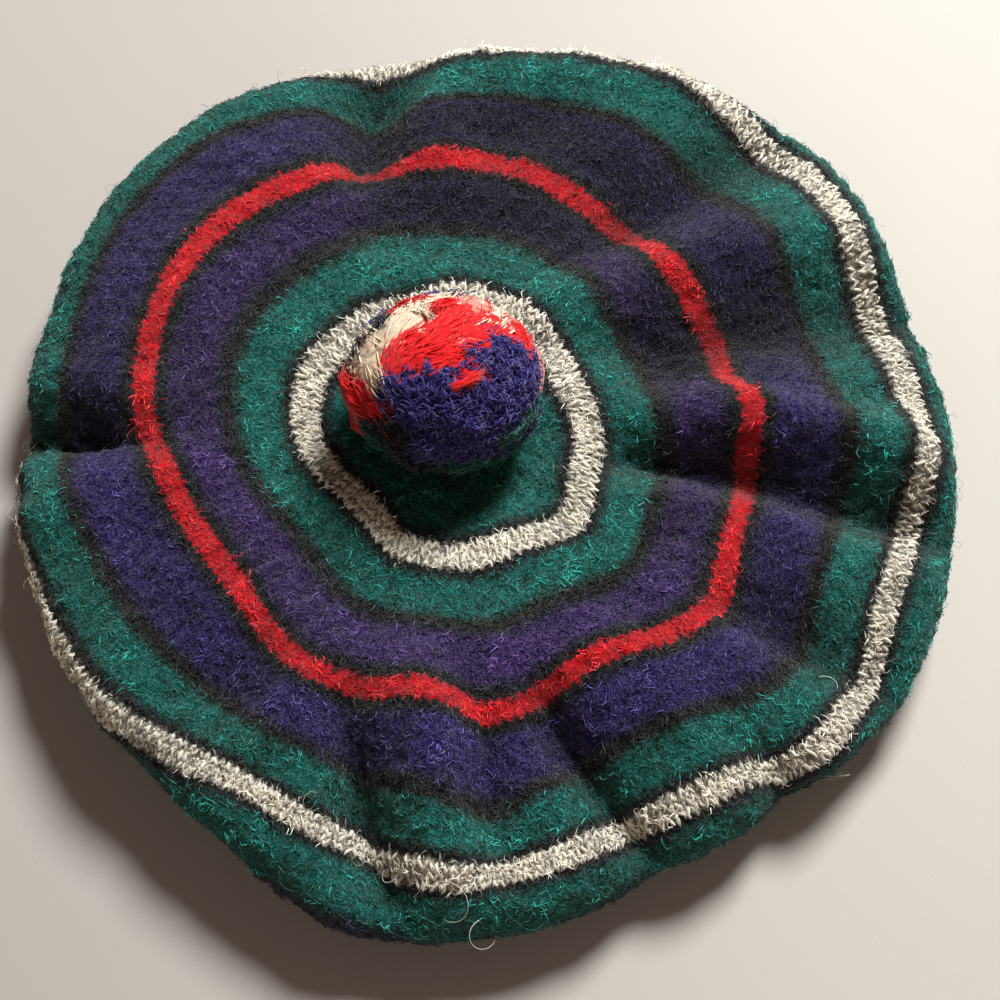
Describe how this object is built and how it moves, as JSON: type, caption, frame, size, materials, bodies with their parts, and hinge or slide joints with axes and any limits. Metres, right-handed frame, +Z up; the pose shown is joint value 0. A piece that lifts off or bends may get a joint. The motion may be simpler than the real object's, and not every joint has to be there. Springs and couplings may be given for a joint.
{
  "type": "tam o shanter",
  "caption": "Wide floppy round-striped knitted wool tam o'shanter with a rolled edge, radial folds, a plain headband and a pompom, lying crown up.",
  "frame": {"origin": "on the surface that the hat lies on, under the middle of its outline", "axes": "+Z up through the crown; -Y towards the viewer of the picture; +X to the viewer's right"},
  "size_m": [0.278, 0.2806, 0.0798],
  "materials": {
    "crown_wool": "fulled knitted wool in round stripes of green, near-black, off-white, purple and red, with a short hairy nap",
    "band_wool": "plain dark ribbed knitted wool",
    "pompom_wool": "cut woollen yarn in red, navy, off-white and green"
  },
  "bodies": {
    "root": {"crown": "crown_wool", "headband": "band_wool", "pompom": "pompom_wool"}
  },
  "joints": []
}
